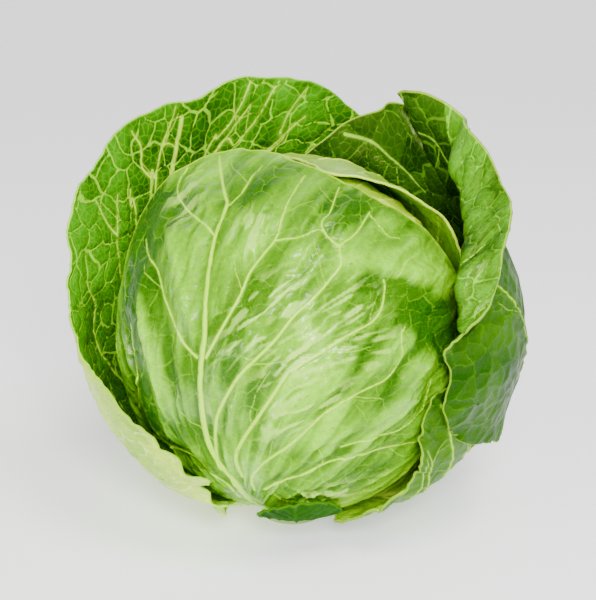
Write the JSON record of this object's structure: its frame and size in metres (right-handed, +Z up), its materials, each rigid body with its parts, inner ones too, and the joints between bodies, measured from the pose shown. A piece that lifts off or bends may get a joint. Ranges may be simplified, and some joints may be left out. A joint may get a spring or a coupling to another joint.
{
  "type": "cabbage head",
  "caption": "Green cabbage head resting on its cut stem: a dense heart, a veined wrapper leaf across the front, and loose dark outer leaves standing round the back and sides.",
  "frame": {"origin": "middle of the stem's flat cut face, on the ground", "axes": "+Z up through the head, -Y towards the front leaf, +X to the right of it"},
  "size_m": [0.2228, 0.1865, 0.2036],
  "materials": {
    "heart": "satin, pale waxy leaf; the stem's cut face is dry and cream",
    "leaf_front": "glossy waxy leaf with pale raised veins",
    "leaf_pale": "satin leaf with a bluish bloom",
    "leaf_dark": "satin dark leaf with a pale net of veins"
  },
  "bodies": {
    "root": {"heart": "heart", "leaf_front": "leaf_front", "leaf_right": "leaf_pale", "leaf_low_front": "leaf_dark", "outer_low_right": "leaf_pale", "outer_right": "leaf_dark", "outer_left": "leaf_dark"}
  },
  "joints": []
}
